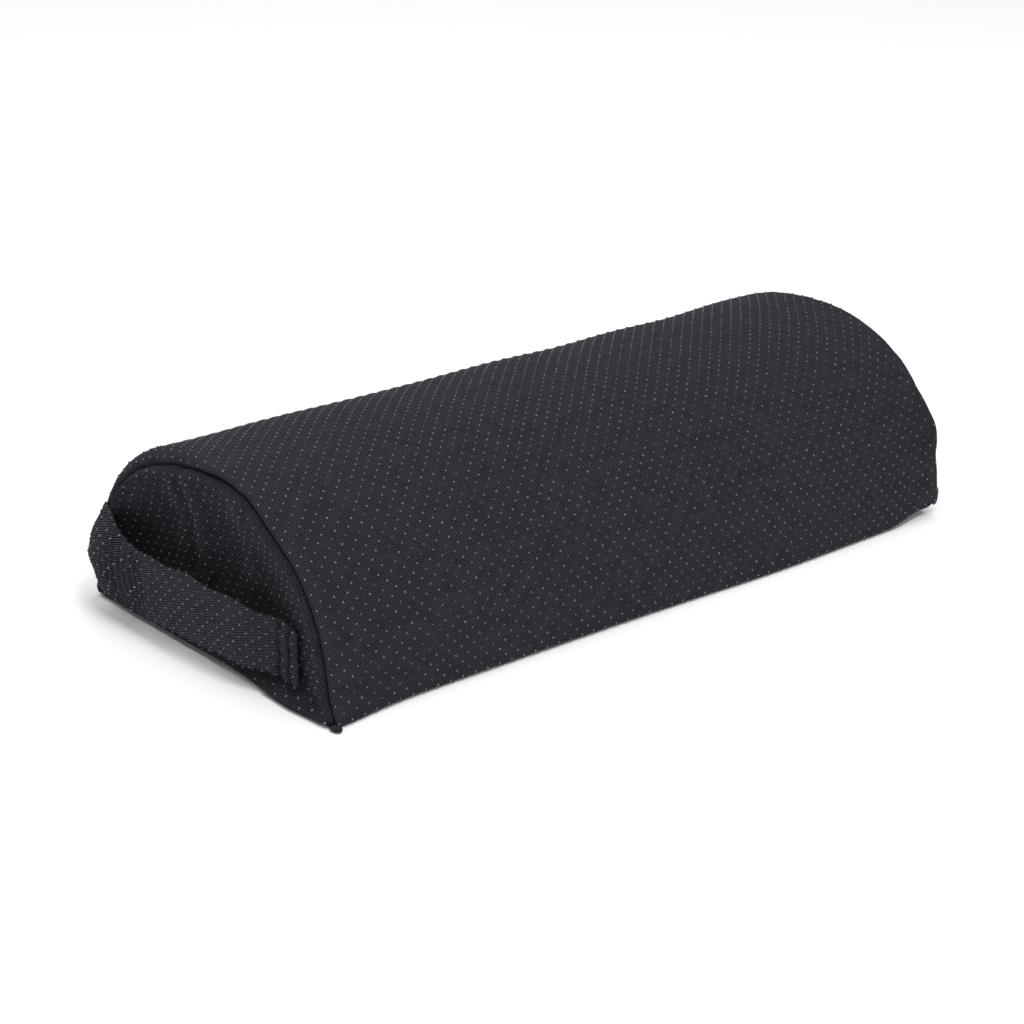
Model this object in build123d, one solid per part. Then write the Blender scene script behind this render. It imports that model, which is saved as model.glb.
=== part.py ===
from build123d import *
import math
import os

# Half-round bolster pillow: a foam block with a D-shaped section in a zipped fabric cover,
# with a carry strap sewn across its left end.
#
# Frame: millimetres. +X runs along the bolster away from the strap end, +Y points to the
# zipped back, +Z is up. The origin is the middle of the flat base.

# Driving dimensions of the bolster
LENGTH = 400.0
WIDTH = 196.0
HEIGHT = 97.0
ARCH_POWER = 2.25  # 2 would be an ellipse; more gives the fuller shoulders of a foam block
BASE_CORNER = 8.0  # radius where the arch turns under to the base
LEAST_CORNER = 1.5  # the smallest corner that an inner layer keeps
END_ROUND = 6.0  # radius where the wrap turns over to each end
END_STEPS = 4  # flats that make up that turn

# Layers, from the outside in
FABRIC = 1.2
LINER = 0.6

# End seams
SEAM_INSET = 7.0  # how far the seam of an end panel lies in from the outline
OVERLOCK = 2.0  # depth and width of the overlocked edges behind the seam

# Carry strap: its stand-off is measured from the end panel to the middle of the strap
STRAP_WIDTH = 32.0
STRAP_BOTTOM = 11.0
STRAP_THICKNESS = 3.0
STRAP_TAB_END = -75.0
STRAP_TAB_START = -59.0
STRAP_ROUTE = [(-58.6, 2.4), (-48.0, 6.5), (-20.0, 11.0), (15.0, 13.5), (50.0, 16.5), (76.0, 17.5)]
STRAP_BACK_TOP = (77.0, 17.2)
STRAP_BACK_FOOT = (85.0, 1.5)
STITCH = 0.5

# Zip along the foot of the back, built flat and then tilted to lie along the arch
ZIP_HEIGHT = 18.0
ZIP_FACE = 96.6  # the fabric's outer face behind which the zip is sewn
ZIP_TILT = 7.2
ZIP_LENGTH = 352.0
ZIP_GAP = 11.0  # height of the slot left between the two fabric edges
TAPE_THICKNESS = 0.6
TAPE_WIDTH = 9.5
TAPE_FACE = -1.4  # the tape's outer face, just inside the fabric
COIL_NEAR = 0.6
COIL_FAR = 3.2
COIL_TOP = 0.7
STOP_LENGTH = 3.0
SLIDER_REST = 166.0  # the slider's place when the zip is closed
SLIDER_LENGTH = 12.0
SLIDER_WIDTH = 9.0
PLATE = 1.0
SLIDER_CLEARANCE = 0.3
BRIDGE_REACH = 3.5
BRIDGE_WIDTH = 2.0
PULL_HINGE = 2.8  # height of the pull's hinge line over the zip face
PULL_ROD = 1.0
PULL_LENGTH = 30.0
PULL_WIDTH = 6.0
PULL_ARM = 0.8

LEFT, RIGHT = -1, 1
UPPER, LOWER = 1, -1


def box_between(low, high):
    """A box from its lowest to its highest corner."""
    size = [b - a for a, b in zip(low, high)]
    middle = [(a + b) / 2 for a, b in zip(low, high)]
    return Pos(*middle) * Box(*size)


def d_profile(inset):
    """The D-shaped section, drawn in Y and Z, with every side moved in by inset."""
    half_width = WIDTH / 2 - inset
    rise = HEIGHT - 2 * inset
    steps = 16
    arch = []
    for i in range(steps + 1):
        angle = math.pi * i / steps
        across = abs(math.cos(angle)) ** (2 / ARCH_POWER)
        y = math.copysign(half_width * across, math.cos(angle))
        z = inset + rise * abs(math.sin(angle)) ** (2 / ARCH_POWER)
        arch.append((y, z))
    arch_line = Spline(arch, tangents=[(0, 1), (0, -1)])
    base_line = Line(arch[-1], arch[0])
    face = make_face([arch_line.edge(), base_line.edge()])
    face = fillet(face.vertices(), max(BASE_CORNER - inset, LEAST_CORNER))
    return Plane.YZ * face


def d_prism(inset, start, end):
    """The D section carried along X from start to end."""
    return Pos(start, 0, 0) * extrude(d_profile(inset), end - start)


def rounded_end(inset, side):
    """The last stretch of the body, where it turns over to an end."""
    radius = END_ROUND - inset
    shoulder = LENGTH / 2 - END_ROUND
    sections = []
    for i in range(END_STEPS + 1):
        angle = math.pi / 2 * i / END_STEPS
        x = side * (shoulder + radius * math.sin(angle))
        sections.append(Pos(x, 0, 0) * d_profile(END_ROUND - radius * math.cos(angle)))
    return loft(sections, ruled=True)


def block(inset):
    """The bolster's whole body, with every face moved in by inset."""
    shoulder = LENGTH / 2 - END_ROUND
    middle = d_prism(inset, -shoulder, shoulder)
    return middle + rounded_end(inset, LEFT) + rounded_end(inset, RIGHT)


def on_zip(shape):
    """Moves a zip piece from the flat frame it is drawn in to its place on the back."""
    return Pos(0, ZIP_FACE, ZIP_HEIGHT) * Rot(ZIP_TILT, 0, 0) * shape


def zip_pocket(grow):
    """The space that the zip takes up in front of the foam, made larger by grow."""
    low = (-LENGTH / 2 + 12 - grow, -3.6 - grow, -TAPE_WIDTH - 0.5 - grow)
    high = (LENGTH / 2 - 12 + grow, 10, TAPE_WIDTH + 0.5 + grow)
    return on_zip(box_between(low, high))


def seam_ring(side, grow):
    """The overlocked edges that stand inside the cover behind one end seam."""
    near = LENGTH / 2 - FABRIC
    far = near - OVERLOCK - grow
    start, end = sorted((side * near, side * far))
    outer = d_prism(SEAM_INSET - OVERLOCK / 2 - grow, start, end)
    inner = d_prism(SEAM_INSET + OVERLOCK / 2 + grow, start, end)
    return outer - inner


def end_opening(side):
    """The D-shaped column that holds an end panel."""
    start, end = sorted((side * (LENGTH / 2 - FABRIC), side * LENGTH / 2))
    return d_prism(SEAM_INSET, start, end)


def foam_core():
    """One piece of foam, relieved for the zip and the end seams."""
    core = block(FABRIC + LINER) - zip_pocket(LINER)
    return core - seam_ring(LEFT, LINER) - seam_ring(RIGHT, LINER)


def foam_liner(core):
    """The thin sock that closes round the foam."""
    outer = block(FABRIC) - zip_pocket(0)
    return outer - seam_ring(LEFT, 0) - seam_ring(RIGHT, 0) - core


def wrap_panel():
    """One panel that goes over the arch and round under the base, open along the zip."""
    skin = block(0) - block(FABRIC)
    slot = box_between((-ZIP_LENGTH / 2, -6, -ZIP_GAP / 2), (ZIP_LENGTH / 2, 6, ZIP_GAP / 2))
    return skin - end_opening(LEFT) - end_opening(RIGHT) - on_zip(slot)


def end_panel(side):
    """A flat D of the cover fabric."""
    return end_opening(side)


def strap_tab_front():
    """The strap's front end, folded under and sewn flat to the end panel."""
    face = -LENGTH / 2
    low = (face - STRAP_THICKNESS, STRAP_TAB_END, STRAP_BOTTOM)
    high = (face, STRAP_TAB_START, STRAP_BOTTOM + STRAP_WIDTH)
    return box_between(low, high)


def strap_stitches():
    """Two rows of thread across the front tab."""
    face = -LENGTH / 2 - STRAP_THICKNESS
    rows = []
    for y in (STRAP_TAB_END + 3, STRAP_TAB_START - 3):
        low = (face - STITCH, y - STITCH, STRAP_BOTTOM + 2)
        high = (face, y + STITCH, STRAP_BOTTOM + STRAP_WIDTH - 2)
        rows.append(box_between(low, high))
    return Compound(rows)


def strap_grip():
    """The slack part of the strap that a hand goes behind."""
    half = STRAP_THICKNESS / 2
    inside = [(-LENGTH / 2 - stand + half, y) for y, stand in STRAP_ROUTE]
    outside = [(-LENGTH / 2 - stand - half, y) for y, stand in STRAP_ROUTE]
    inner, outer = Spline(inside), Spline(outside)
    front_end = Line(inside[0], outside[0])
    back_end = Line(inside[-1], outside[-1])
    section = make_face([inner.edge(), back_end.edge(), outer.edge(), front_end.edge()])
    return Pos(0, 0, STRAP_BOTTOM) * extrude(section, STRAP_WIDTH, dir=(0, 0, 1))


def strap_tab_back():
    """The strap's back end, where it turns in to the end seam."""
    half = STRAP_THICKNESS / 2
    top_y, top_stand = STRAP_BACK_TOP
    foot_y, foot_stand = STRAP_BACK_FOOT
    corners = [
        (-LENGTH / 2 - top_stand - half, top_y),
        (-LENGTH / 2 - top_stand + half, top_y),
        (-LENGTH / 2, foot_y - STRAP_THICKNESS),
        (-LENGTH / 2, foot_y),
        (-LENGTH / 2 - foot_stand, foot_y),
    ]
    section = make_face(Polyline(*corners, close=True).edges())
    return Pos(0, 0, STRAP_BOTTOM) * extrude(section, STRAP_WIDTH, dir=(0, 0, 1))


def zip_tape(side):
    """One woven tape, sewn behind its fabric edge."""
    across = sorted((side * (COIL_NEAR + 0.2), side * TAPE_WIDTH))
    reach = ZIP_LENGTH / 2 + 8
    low = (-reach, TAPE_FACE - TAPE_THICKNESS, across[0])
    high = (reach, TAPE_FACE, across[1])
    return on_zip(box_between(low, high))


def zip_coil(side):
    """One side's coil, as the bar that its turns fill."""
    across = sorted((side * COIL_NEAR, side * COIL_FAR))
    reach = ZIP_LENGTH / 2 - STOP_LENGTH
    return on_zip(box_between((-reach, TAPE_FACE, across[0]), (reach, COIL_TOP, across[1])))


def zip_top_stops():
    """A stop at the closed end of each coil."""
    near, far = ZIP_LENGTH / 2 - STOP_LENGTH, ZIP_LENGTH / 2
    stops = []
    for side in (UPPER, LOWER):
        across = sorted((side * COIL_NEAR, side * (COIL_FAR + 0.3)))
        stop = box_between((near, TAPE_FACE, across[0]), (far, COIL_TOP + 0.3, across[1]))
        stops.append(on_zip(stop))
    return Compound(stops)


def zip_bottom_stop():
    """One stop that joins the two coils at the open end."""
    far, near = -ZIP_LENGTH / 2, -ZIP_LENGTH / 2 + STOP_LENGTH
    wide = COIL_FAR + 0.3
    return on_zip(box_between((far, TAPE_FACE, -wide), (near, COIL_TOP + 0.3, wide)))


def zip_stitch(side):
    """The row of thread that sews a fabric edge to its tape."""
    middle = side * (ZIP_GAP / 2 + 2)
    low = (-ZIP_LENGTH / 2, TAPE_FACE, middle - STITCH / 2)
    high = (ZIP_LENGTH / 2, TAPE_FACE + 0.15, middle + STITCH / 2)
    return on_zip(box_between(low, high))


def zip_slider():
    """The slider: two plates round the tapes, a wedge between the coils and a bridge on top."""
    near, far = SLIDER_REST - SLIDER_LENGTH / 2, SLIDER_REST + SLIDER_LENGTH / 2
    side = SLIDER_WIDTH / 2
    top = COIL_TOP + SLIDER_CLEARANCE
    under = TAPE_FACE - TAPE_THICKNESS - SLIDER_CLEARANCE
    top_plate = box_between((near, top, -side), (far, top + PLATE, side))
    bottom_plate = box_between((near, under - PLATE, -side), (far, under, side))
    post = box_between((far - 4, under, -SLIDER_CLEARANCE), (far - 1, top, SLIDER_CLEARANCE))
    slider = top_plate + bottom_plate + post
    lip = TAPE_FACE + SLIDER_CLEARANCE
    for across in (-side, side - PLATE):
        slider += box_between((near, lip, across), (far, top, across + PLATE))
    crown = PULL_HINGE + PULL_ROD / 2 + SLIDER_CLEARANCE
    half = BRIDGE_WIDTH / 2
    reach = BRIDGE_REACH
    bridge = box_between(
        (SLIDER_REST - reach, crown, -half), (SLIDER_REST + reach, crown + PLATE, half)
    )
    for foot in (-reach, reach - PLATE):
        bridge += box_between(
            (SLIDER_REST + foot, top + PLATE, -half), (SLIDER_REST + foot + PLATE, crown, half)
        )
    return on_zip(slider + bridge)


def zip_pull():
    """The pull tab, hung on the bridge by a rod between two arms."""
    hinge = Pos(SLIDER_REST, PULL_HINGE, 0)
    inner = BRIDGE_WIDTH / 2 + SLIDER_CLEARANCE
    outer = inner + PULL_ARM
    half = PULL_ROD / 2
    tab_start = BRIDGE_REACH + 3.5
    arm_end = tab_start + PULL_WIDTH / 3
    pull = Cylinder(half, 2 * outer)
    for across in (-outer, inner):
        pull += box_between((-arm_end, -half, across), (0, half, across + PULL_ARM))
    tab = box_between((-PULL_LENGTH, -half, -PULL_WIDTH / 2), (-tab_start, half, PULL_WIDTH / 2))
    tab = fillet(tab.edges().filter_by(Axis.Y), PULL_WIDTH / 3)
    return on_zip(hinge * (pull + tab))


os.makedirs("parts", exist_ok=True)
core = foam_core()
nodes = {
    "foam_core": core,
    "foam_liner": foam_liner(core),
    "wrap_panel": wrap_panel(),
    "end_panel_left": end_panel(LEFT),
    "end_panel_right": end_panel(RIGHT),
    "end_overlock_left": seam_ring(LEFT, 0),
    "end_overlock_right": seam_ring(RIGHT, 0),
    "strap_tab_front": strap_tab_front(),
    "strap_stitches": strap_stitches(),
    "strap_grip": strap_grip(),
    "strap_tab_back": strap_tab_back(),
    "zip_tape_upper": zip_tape(UPPER),
    "zip_tape_lower": zip_tape(LOWER),
    "zip_coil_upper": zip_coil(UPPER),
    "zip_coil_lower": zip_coil(LOWER),
    "zip_top_stops": zip_top_stops(),
    "zip_bottom_stop": zip_bottom_stop(),
    "zip_stitch_upper": zip_stitch(UPPER),
    "zip_stitch_lower": zip_stitch(LOWER),
    "zip_slider": zip_slider(),
    "zip_pull": zip_pull(),
}
for name, shape in nodes.items():
    export_step(shape, f"parts/{name}.step")
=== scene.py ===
import math

import bmesh
import bpy
import numpy as np
from mathutils import Matrix, Vector


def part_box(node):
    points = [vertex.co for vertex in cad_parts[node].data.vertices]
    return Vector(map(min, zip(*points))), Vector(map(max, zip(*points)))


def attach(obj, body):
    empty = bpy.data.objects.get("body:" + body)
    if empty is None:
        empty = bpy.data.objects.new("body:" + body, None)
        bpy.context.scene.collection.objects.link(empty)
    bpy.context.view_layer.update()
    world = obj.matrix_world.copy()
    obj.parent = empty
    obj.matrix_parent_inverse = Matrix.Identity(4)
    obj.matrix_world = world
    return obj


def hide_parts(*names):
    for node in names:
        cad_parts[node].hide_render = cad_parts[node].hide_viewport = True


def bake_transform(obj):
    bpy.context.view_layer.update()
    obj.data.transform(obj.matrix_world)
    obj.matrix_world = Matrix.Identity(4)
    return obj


# A half-round foam bolster in a cover of non-slip grip-dot cloth, with a carry strap on its
# left end and a zip along the foot of its back. Metres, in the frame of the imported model:
# +X along the bolster, +Y to the zipped back, +Z up, origin in the middle of the base.

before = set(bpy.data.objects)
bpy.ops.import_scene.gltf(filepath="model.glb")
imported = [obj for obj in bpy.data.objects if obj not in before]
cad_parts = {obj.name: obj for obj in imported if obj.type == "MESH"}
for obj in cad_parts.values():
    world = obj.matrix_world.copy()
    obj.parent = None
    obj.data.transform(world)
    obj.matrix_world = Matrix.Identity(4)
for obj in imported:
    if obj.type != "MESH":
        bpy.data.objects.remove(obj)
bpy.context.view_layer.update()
MM = 0.001

# Body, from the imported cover
_, wrap_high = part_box("wrap_panel")
HALF_LENGTH = wrap_high.x
HALF_DEPTH = 98 * MM
HEIGHT = wrap_high.z
ARCH_POWER = 2.25
BASE_CLOTH = 0.57 * MM  # the base cloth stands on its grip dots
BASE_CORNER = 3 * MM
RIGHT_CORNER = 14 * MM  # the base edges round off as they run into the right end
CLOTH = 1.2 * MM
FOAM_INSET = 6 * MM
LINER_INSET = 5 * MM
FILLING_SHY = 4 * MM  # how much further in than its sides the filling's ends are
FILLING_ROUND = 3 * MM

# End seams: the wrap turns over to each end almost sharply at the base, with a tight roll in
# front and a fuller one over the top and behind
ROLL_BASE = 0.6 * MM
ROLL_FRONT = 1.8 * MM
ROLL_BACK = 5.5 * MM
ROLL_TURN = math.radians(120)
SEAM_SINK = 1.9 * MM  # how deep the stitches pull the seam into the foam
PANEL_TURN = math.radians(10)  # the end panels are cut a little off the grain

# Slack and pulls of the cover: how far the cloth stands out or is drawn in, at the fullest
DOG_EAR = 6.6 * MM  # foot of the front, at its left end
FRONT_SWELL = 3.2 * MM  # foot of the front, right of its middle
FOOT_SWELL = 5.0 * MM  # foot of the left end, in front of the strap
END_TUCK = 2.0 * MM  # right end's seam, near the front of its base
STITCH_LUMP = 4.6 * MM  # right end's seam, halfway up its front
SEAM_DIP = 3.2 * MM  # left end's seam, high on its front
RIGHT_FULLNESS = 2.0 * MM  # top of the arch, towards the right end
SEWN_GROOVE = 1.2 * MM  # past both ends of the zip, where its edges are sewn together
PANEL_HOLLOW = 7.2 * MM  # middle of each end panel
PANEL_FOLD = 2.6 * MM  # soft upright folds of each end panel

# Grip dots
DOT_CELL = 7.2 * MM
DOT_RADIUS = 0.65 * MM
DOT_RISE = 0.55 * MM
DOT_SINK = 0.08 * MM
DOT_PRESS = (0.8, 0.35)  # share of the rise that every dot has, and that some have more
DOT_MARGIN = 2.2 * MM  # no dots this near a seam

# Weaves, and the twill's light and dark: how much each layer adds, and what is taken off. The ribs'
# light and dark is painted highlight and shade, and FOLD_SHADE weighs the painted shade and
# highlight that the fold attribute holds
TWILL_PITCH = 0.88 * MM
TWILL_LEAN = math.radians(20)
RIB_SHADE, FIBRE_SHADE, FADE_SHADE, FOLD_SHADE = 1.5, 0.9, 0.24, 0.45
TWILL_DATUM = 0.77
LINER_WALE = 0.9 * MM
TAPE_RIB = 0.8 * MM
TAPE_ROW = 0.6 * MM
THREAD_RADIUS = 0.3 * MM
THREAD_TWIST = 0.35 * MM

# Strap, from its sewn back end to its front tab: place along the end, stand-off of its edges,
# lower edge, upper edge, and how far its middle crowns out beyond its edges
STRAP_ROUTE = [
    (88.5, -2, 13, 50, 0),
    (86.6, 1.6, 11.5, 51, 1.5),
    (83, 4.8, 10.5, 51.5, 3.5),
    (76, 7.6, 10, 51, 5),
    (64, 9.2, 9.5, 49.5, 6),
    (46, 9.6, 10.5, 43.8, 5),
    (25, 9.8, 11.5, 42.5, 3.5),
    (4, 9.8, 12, 44, 2.5),
    (-18, 9.3, 12, 43.5, 2),
    (-39, 7.6, 12.5, 42, 1.5),
    (-52, 4.5, 13, 40.6, 1),
    (-60, 1.7, 12.5, 39.8, 0.6),
    (-68, 1, 11.5, 38.8, 0.4),
    (-76, 1.4, 11, 37.8, 0.2),
]
STRAP_HALF_WIDTH = 18 * MM
STRAP_HALF_THICKNESS = 1.3 * MM
STRAP_JOIN = 0.5  # share of its length where the strap's two halves meet
PUCKER_PITCH = 4.5 * MM
PUCKER_RISE = 1.2 * MM
TAB_STITCHES = (-63, -70.5)  # places along the end of the two sewn rows
TAB_WAVER = (0.7 * MM, 19 * MM)  # how far the rows stray from straight, and how long a stray is
TAB_SINK = 1.5 * MM

# Zip
ZIP_HEIGHT = 18 * MM
ZIP_FACE = 96.6 * MM
ZIP_TILT = math.radians(7.2)
ZIP_HALF = 176 * MM
ZIP_GAP = 11 * MM
ZIP_SEAM = 2.4 * MM  # from the cloth's edge to the stitches
COIL_PITCH = 1.5 * MM
COIL_RADIUS = 0.42 * MM
COIL_HEAD, COIL_HEEL = -0.5 * MM, 3.1 * MM  # heads reach past the middle
COIL_REACH = ZIP_HALF - 3.5 * MM
GUARD_LOW = (-4.2 * MM, -8 * MM)
GUARD_HIGH = (-3.8 * MM, 8 * MM)
SLIDER_REST = 166 * MM
SLIDER_HALF_LENGTH = 6 * MM
SLIDER_HALF_WIDTH = 4.5 * MM
SLIDER_TAPER = 0.2
SLIDER_PLATES = ((0.95 * MM, 2.0 * MM), (-3.3 * MM, -2.3 * MM))
SLIDER_LIP = 0.95 * MM
BAIL_RADIUS = 2.7 * MM
BAIL_WIRE = 0.5 * MM
PULL_HINGE = 2.8 * MM
PULL_ARM_LENGTH = 9 * MM
PULL_ARM = (1.35 * MM, 2.1 * MM)  # inner and outer side of each arm
PULL_TAB = (23 * MM, 1.0 * MM, 6 * MM)
PULL_TAB_MIDDLE = 18.5 * MM


# -------- shader kit


class Value:
    """A shader socket that Python's operators work on."""

    def __init__(self, finish, socket):
        self.finish = finish
        self.socket = socket

    def maths(self, operation, *others, clamp=False):
        inputs = dict(enumerate((self,) + others))
        settings = {"operation": operation, "use_clamp": clamp}
        return self.finish.node("Math", settings, inputs)

    def __add__(self, other):
        return self.maths("ADD", other)

    __radd__ = __add__

    def __sub__(self, other):
        return self.maths("SUBTRACT", other)

    def __rsub__(self, other):
        return self.finish.number(other).maths("SUBTRACT", self)

    def __mul__(self, other):
        return self.maths("MULTIPLY", other)

    __rmul__ = __mul__

    def clamped(self):
        return self.maths("ADD", 0.0, clamp=True)

    def wave(self):
        """0 to 1 and back, once for each unit of this value."""
        return (self * (2 * math.pi)).maths("SINE") * 0.5 + 0.5


class Finish:
    """A material under construction."""

    def __init__(self, name):
        self.material = bpy.data.materials.new(name)
        self.material.use_nodes = True
        self.tree = self.material.node_tree
        self.tree.nodes.clear()

    def number(self, value):
        return self.node("Math", {"operation": "ADD"}, {0: value, 1: 0.0})

    def node(self, kind, settings=None, inputs=None, output=0):
        """Adds a node, sets its settings and then its sockets, and returns one output."""
        made = self.tree.nodes.new("ShaderNode" + kind)
        for key, value in (settings or {}).items():
            if key == "stops":
                self.ramp(made.color_ramp, value)
            else:
                setattr(made, key, value)
        for key, value in (inputs or {}).items():
            if isinstance(value, Value):
                self.tree.links.new(value.socket, made.inputs[key])
            else:
                made.inputs[key].default_value = value
        return Value(self, made.outputs[output]) if made.outputs else None

    def ramp(self, ramp, stops):
        while len(ramp.elements) < len(stops):
            ramp.elements.new(1.0)
        for element, (place, shade) in zip(ramp.elements, stops):
            element.position = place
            element.color = (*shade, 1.0)

    def cloth_place(self):
        """The place on the flat cloth, in metres."""
        return self.node("UVMap", {"uv_map": "cloth"})

    def object_place(self):
        return self.node("TexCoord", output=3)

    def axes(self, place):
        """The x, y and z of a place."""
        split = self.node("SeparateXYZ", {}, {0: place}).socket.node
        return [Value(self, output) for output in split.outputs]

    def noise(self, place, scale, detail=2.0, rough=0.5):
        settings = {"noise_dimensions": "3D"}
        inputs = {"Vector": place, "Scale": scale, "Detail": detail, "Roughness": rough}
        return self.node("TexNoise", settings, inputs)

    def mixed(self, share, first, second):
        """A colour between two colours."""
        settings = {"data_type": "RGBA"}
        inputs = {0: share, 6: first, 7: second}
        return self.node("Mix", settings, inputs, output=2)

    def bump(self, height, distance, strength):
        inputs = {"Height": height, "Distance": distance, "Strength": strength}
        return self.node("Bump", {}, inputs)

    def surface(self, colour, rough, **sockets):
        """Ends the material in one principled shader."""
        inputs = {key.replace("_", " "): value for key, value in sockets.items()}
        inputs.update({"Base Color": colour, "Roughness": rough})
        shader = self.node("BsdfPrincipled", {}, inputs)
        self.node("OutputMaterial", {}, {0: shader})
        return self.material


def grey(level, blue=1.34):
    """A near-neutral charcoal, a little towards blue."""
    return (level, level, level * blue, 1.0)


# -------- finishes


def twill_cloth(name, base, lit):
    """Tight polyester twill: fine raised ribs that lean across the cloth, with soft fading; its
    colour holds painted shade between the ribs and painted highlight on their tops, and, from the
    fold attribute, painted shade in creases and seams and painted highlight on ridges.
    """
    f = Finish(name)
    place = f.cloth_place()
    along, across, _ = f.axes(place)
    drift = f.noise(place, 420.0, 2.0)
    across_ribs = across * math.cos(TWILL_LEAN) - along * math.sin(TWILL_LEAN)
    along_ribs = along * math.cos(TWILL_LEAN) + across * math.sin(TWILL_LEAN)
    rib = (across_ribs * (1 / TWILL_PITCH) + drift * 0.6).wave()
    floats = (along_ribs * (0.6 / TWILL_PITCH) + rib * 0.5 + drift).wave()
    patch = f.noise(place, 130.0, 3.0)
    # painted shade and highlight: the weave's colour is darker in the hollows between the ribs and
    # lighter on their tops
    weave = (rib * rib * (floats * 0.35 + patch + 0.2)).clamped()
    fade = f.noise(place, 14.0, 3.0)
    fibres = f.noise(place, 1400.0, 2.0, 0.7)
    # painted shade and highlight: the fold attribute darkens creases and seams and lightens ridges
    fold = f.node("Attribute", {"attribute_name": "fold"}, output=2)
    shade = weave * RIB_SHADE + fibres * FIBRE_SHADE + fade * FADE_SHADE
    share = (shade - TWILL_DATUM - fold * FOLD_SHADE).clamped()
    height = weave * 0.8 + fibres * 0.3
    return f.surface(
        f.mixed(share, base, lit),
        (0.95 - weave * 0.2).clamped(),
        Normal=f.bump(height, 0.3 * MM, 1.0),
        Specular_IOR_Level=0.12,
        Sheen_Weight=0.03,
        Sheen_Roughness=0.5,
        Sheen_Tint=(0.75, 0.78, 0.9, 1.0),
    )


def grip_rubber():
    """Printed soft vinyl: smooth domes, a little duller where they have rubbed."""
    f = Finish("grip_rubber")
    place = f.object_place()
    wear_and_painted_highlight = f.noise(place, 190.0, 1.0)
    colour = f.mixed((wear_and_painted_highlight * 2.6 - 0.8).clamped(), grey(0.04, 1.1), grey(0.145, 1.1))
    normal = f.bump(f.noise(place, 1500.0), 0.04 * MM, 0.3)
    rough = (0.16 + wear_and_painted_highlight * 0.16).clamped()
    return f.surface(colour, rough, Normal=normal, Specular_IOR_Level=0.75)


def foam_finish():
    """Open-cell foam, cream, with pores."""
    f = Finish("foam_cells")
    place = f.object_place()
    settings = {"feature": "F1"}
    pores = f.node("TexVoronoi", settings, {"Vector": place, "Scale": 900.0})
    shade = f.noise(place, 25.0, 3.0)
    colour = f.mixed(shade, (0.80, 0.74, 0.55, 1), (0.90, 0.86, 0.72, 1))
    rough = (0.85 + shade * 0.1).clamped()
    return f.surface(colour, rough, Normal=f.bump(pores, 0.5 * MM, 0.8))


def liner_finish():
    """Thin knitted liner in off-white."""
    f = Finish("liner_knit")
    place = f.object_place()
    x, _, _ = f.axes(place)
    wales = (x * (1 / LINER_WALE)).wave()
    shade = f.noise(place, 40.0, 3.0)
    colour = f.mixed(shade, (0.70, 0.70, 0.67, 1), (0.82, 0.82, 0.79, 1))
    rough = (0.82 + shade * 0.12).clamped()
    return f.surface(colour, rough, Normal=f.bump(wales, 0.15 * MM, 0.6))


def tape_finish():
    """Woven zip tape: close ribs across a black ground."""
    f = Finish("zip_tape_weave")
    place = f.object_place()
    x, _, z = f.axes(place)
    ribs = (x * (1 / TAPE_RIB)).wave()
    rows = (z * (1 / TAPE_ROW)).wave()
    weave = (ribs * 0.6 + rows * 0.4).clamped()
    fibres = f.noise(place, 2200.0)
    colour = f.mixed((weave * 0.6 + fibres * 0.4).clamped(), grey(0.014), grey(0.034))
    rough = (0.92 - weave * 0.15).clamped()
    return f.surface(colour, rough, Normal=f.bump(weave, 0.12 * MM, 0.8))


def nylon_finish():
    """Black nylon monofilament."""
    f = Finish("coil_nylon")
    place = f.object_place()
    wear = f.noise(place, 500.0, 3.0)
    colour = f.mixed(wear, grey(0.016), grey(0.032))
    rough = (0.3 + wear * 0.2).clamped()
    return f.surface(colour, rough, Normal=f.bump(wear, 0.04 * MM, 0.4))


def black_metal():
    """Painted die-cast metal: satin black, rubbed at random places."""
    f = Finish("slider_paint")
    place = f.object_place()
    wear = f.noise(place, 260.0, 4.0, 0.6)
    edge = {"stops": [(0.62, (0, 0, 0)), (0.74, (1, 1, 1))]}
    worn = f.node("ValToRGB", edge, {0: wear})
    colour = f.mixed(worn, grey(0.022), grey(0.12))
    rough = (0.34 + wear * 0.2).clamped()
    normal = f.bump(wear, 0.04 * MM, 0.5)
    return f.surface(colour, rough, Metallic=(worn * 0.8).clamped(), Normal=normal)


def thread_finish():
    """Twisted polyester sewing thread."""
    f = Finish("sewing_thread")
    place = f.object_place()
    x, y, z = f.axes(place)
    twist = ((x + y + z) * (1 / THREAD_TWIST)).wave()
    colour = f.mixed(twist, grey(0.018), grey(0.05))
    rough = (0.55 + twist * 0.2).clamped()
    return f.surface(colour, rough, Normal=f.bump(twist, 0.06 * MM, 0.7))


def floor_finish():
    """Seamless white paper."""
    f = Finish("studio_paper")
    tooth = f.noise(f.object_place(), 900.0, 2.0)
    colour = f.mixed(tooth, (0.93, 0.93, 0.93, 1), (0.95, 0.95, 0.95, 1))
    return f.surface(colour, 0.9, Specular_IOR_Level=0.1)


# -------- cloth geometry


def soft_waves(a, b, pitch, seed):
    """Smooth random relief between about -1 and 1, with swells about one pitch long."""
    draw = np.random.default_rng(seed)
    total = np.zeros_like(a)
    swells = 7
    for _ in range(swells):
        heading = draw.uniform(0, 2 * math.pi)
        length = pitch * draw.uniform(0.7, 1.6)
        phase = draw.uniform(0, 2 * math.pi)
        run = a * math.cos(heading) + b * math.sin(heading)
        total += np.sin(run * 2 * math.pi / length + phase)
    return total * 2 / swells


def hump(value, middle, width):
    """1 at the middle, falling smoothly to 0 about two widths away."""
    return np.exp(-(((value - middle) / width) ** 2))


def fading(distance, reach):
    """1 at no distance, fading away over about three times the reach."""
    return np.exp(-np.clip(distance, 0, None) / reach)


def smooth_step(value, low, high):
    t = np.clip((value - low) / (high - low), 0, 1)
    return t * t * (3 - 2 * t)


def arch_depth(z):
    """Half the depth of the arch at a height."""
    return HALF_DEPTH * (1 - np.clip(z / HEIGHT, 0, 1) ** ARCH_POWER) ** (1 / ARCH_POWER)


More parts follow.
